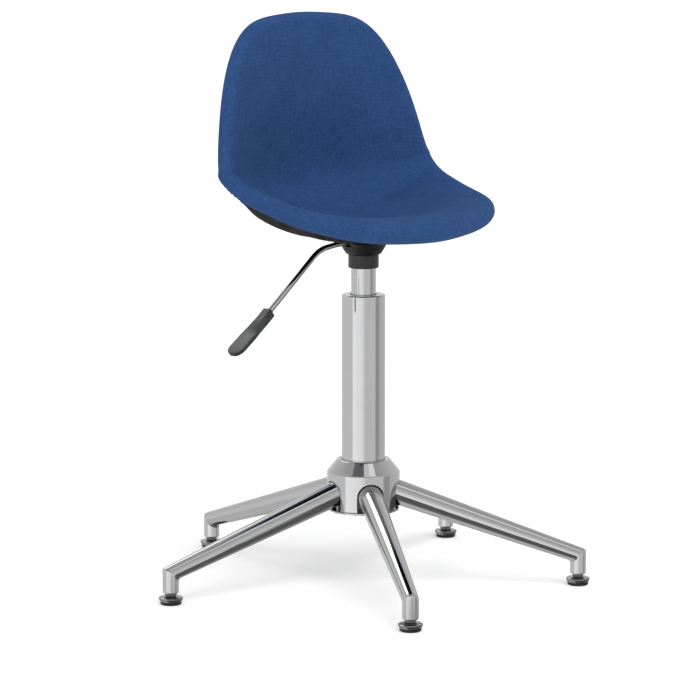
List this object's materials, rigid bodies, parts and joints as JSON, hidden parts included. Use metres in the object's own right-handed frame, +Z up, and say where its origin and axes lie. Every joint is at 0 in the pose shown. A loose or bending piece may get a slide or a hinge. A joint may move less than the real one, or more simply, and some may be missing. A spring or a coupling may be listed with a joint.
{
  "type": "swivel office chair",
  "caption": "Swivel chair with a padded fabric bucket seat on a gas lift, a height lever, and a chromed star base on levelling feet.",
  "frame": {"origin": "on the floor, under the middle of the chair's footprint", "axes": "+Z up along the gas lift, -Y the way the sitter faces, +X the sitter's left"},
  "size_m": [0.5578, 0.532, 0.7265],
  "materials": {
    "hub": "polished, with crisp reflections",
    "base_plate": "polished, with crisp reflections",
    "leg_1": "polished, with crisp reflections",
    "leg_2": "polished, with crisp reflections",
    "leg_3": "polished, with crisp reflections",
    "leg_4": "polished, with crisp reflections",
    "leg_5": "polished, with crisp reflections",
    "leg_bolt_1": "satin zinc-plated",
    "leg_bolt_2": "satin zinc-plated",
    "leg_bolt_3": "satin zinc-plated",
    "leg_bolt_4": "satin zinc-plated",
    "leg_bolt_5": "satin zinc-plated",
    "column_tube": "polished, with crisp reflections",
    "guide_bushing": "smooth, slightly waxy",
    "tube_end_plate": "satin zinc-plated",
    "bearing_lower_race": "satin zinc-plated",
    "bearing_ball_cage": "satin zinc-plated",
    "lock_nut_1": "satin zinc-plated",
    "lock_nut_2": "satin zinc-plated",
    "lock_nut_3": "satin zinc-plated",
    "lock_nut_4": "satin zinc-plated",
    "lock_nut_5": "satin zinc-plated",
    "piston_rod": "satin zinc-plated",
    "piston": "smooth, slightly waxy",
    "retaining_clip": "satin zinc-plated",
    "bearing_upper_race": "satin zinc-plated",
    "gas_cylinder": "polished, with crisp reflections",
    "cylinder_gland": "smooth, slightly waxy",
    "valve_block": "satin zinc-plated",
    "collar_ring": "fine matte grain",
    "seat_bracket": "fine matte grain",
    "seat_bolt_1": "satin zinc-plated",
    "seat_bolt_2": "satin zinc-plated",
    "seat_bolt_3": "satin zinc-plated",
    "seat_bolt_4": "satin zinc-plated",
    "seat_insert_1": "satin zinc-plated",
    "seat_insert_2": "satin zinc-plated",
    "seat_insert_3": "satin zinc-plated",
    "seat_insert_4": "satin zinc-plated",
    "lever_pivot_pin": "satin zinc-plated",
    "seat_shell": "moulded, unpainted",
    "foam_pad": "open-cell foam",
    "front_cover": "slubbed plain weave, blue",
    "back_cover": "slubbed plain weave, blue",
    "under_cover": "fine matte grain",
    "lever_rod": "polished, with crisp reflections",
    "lever_grip": "fine matte grain",
    "release_pin": "satin zinc-plated",
    "glide_foot_1": "polished, with crisp reflections",
    "glide_pad_1": "smooth, slightly waxy",
    "glide_foot_2": "polished, with crisp reflections",
    "glide_pad_2": "smooth, slightly waxy",
    "glide_foot_3": "polished, with crisp reflections",
    "glide_pad_3": "smooth, slightly waxy",
    "glide_foot_4": "polished, with crisp reflections",
    "glide_pad_4": "smooth, slightly waxy",
    "glide_foot_5": "polished, with crisp reflections",
    "glide_pad_5": "smooth, slightly waxy"
  },
  "bodies": {
    "base": {"hub": "hub", "base_plate": "base_plate", "leg_1": "leg_1", "leg_2": "leg_2", "leg_3": "leg_3", "leg_4": "leg_4", "leg_5": "leg_5", "leg_bolt_1": "leg_bolt_1", "leg_bolt_2": "leg_bolt_2", "leg_bolt_3": "leg_bolt_3", "leg_bolt_4": "leg_bolt_4", "leg_bolt_5": "leg_bolt_5", "column_tube": "column_tube", "guide_bushing": "guide_bushing", "tube_end_plate": "tube_end_plate", "bearing_lower_race": "bearing_lower_race", "bearing_ball_cage": "bearing_ball_cage", "lock_nut_1": "lock_nut_1", "lock_nut_2": "lock_nut_2", "lock_nut_3": "lock_nut_3", "lock_nut_4": "lock_nut_4", "lock_nut_5": "lock_nut_5"},
    "spindle": {"piston_rod": "piston_rod", "piston": "piston", "retaining_clip": "retaining_clip", "bearing_upper_race": "bearing_upper_race"},
    "seat": {"gas_cylinder": "gas_cylinder", "cylinder_gland": "cylinder_gland", "valve_block": "valve_block", "collar_ring": "collar_ring", "seat_bracket": "seat_bracket", "seat_bolt_1": "seat_bolt_1", "seat_bolt_2": "seat_bolt_2", "seat_bolt_3": "seat_bolt_3", "seat_bolt_4": "seat_bolt_4", "seat_insert_1": "seat_insert_1", "seat_insert_2": "seat_insert_2", "seat_insert_3": "seat_insert_3", "seat_insert_4": "seat_insert_4", "lever_pivot_pin": "lever_pivot_pin", "seat_shell": "seat_shell", "foam_pad": "foam_pad", "front_cover": "front_cover", "back_cover": "back_cover", "under_cover": "under_cover"},
    "lever": {"lever_rod": "lever_rod", "lever_grip": "lever_grip"},
    "release_pin": {"release_pin": "release_pin"},
    "glide_1": {"glide_foot_1": "glide_foot_1", "glide_pad_1": "glide_pad_1"},
    "glide_2": {"glide_foot_2": "glide_foot_2", "glide_pad_2": "glide_pad_2"},
    "glide_3": {"glide_foot_3": "glide_foot_3", "glide_pad_3": "glide_pad_3"},
    "glide_4": {"glide_foot_4": "glide_foot_4", "glide_pad_4": "glide_pad_4"},
    "glide_5": {"glide_foot_5": "glide_foot_5", "glide_pad_5": "glide_pad_5"}
  },
  "joints": [
    {"name": "seat_swivel", "type": "hinge", "parent": "base", "child": "spindle", "pos_m": [0, -0.02645, 0.1], "axis": [0, 0, 1], "continuous": true},
    {"name": "seat_lift", "type": "slide", "parent": "spindle", "child": "seat", "axis": [0, 0, 1], "range_m": [0, 0.25]},
    {"name": "lever_pull", "type": "hinge", "parent": "seat", "child": "lever", "pos_m": [-0.0175, -0.02645, 0.439], "axis": [0, 1, 0], "range_deg": [0, 4], "stiffness_Nm_per_rad": 4},
    {"name": "pin_press", "type": "slide", "parent": "seat", "child": "release_pin", "axis": [0, 0, -1], "range_m": [0, 0.0013]},
    {"name": "glide_screw_1", "type": "slide", "parent": "base", "child": "glide_1", "axis": [0, 0, -1], "range_m": [0, 0.01]},
    {"name": "glide_screw_2", "type": "slide", "parent": "base", "child": "glide_2", "axis": [0, 0, -1], "range_m": [0, 0.01]},
    {"name": "glide_screw_3", "type": "slide", "parent": "base", "child": "glide_3", "axis": [0, 0, -1], "range_m": [0, 0.01]},
    {"name": "glide_screw_4", "type": "slide", "parent": "base", "child": "glide_4", "axis": [0, 0, -1], "range_m": [0, 0.01]},
    {"name": "glide_screw_5", "type": "slide", "parent": "base", "child": "glide_5", "axis": [0, 0, -1], "range_m": [0, 0.01]}
  ],
  "couplings": [
    {"joint": "pin_press", "follows": "lever_pull", "m_per_rad": 0.0175}
  ]
}
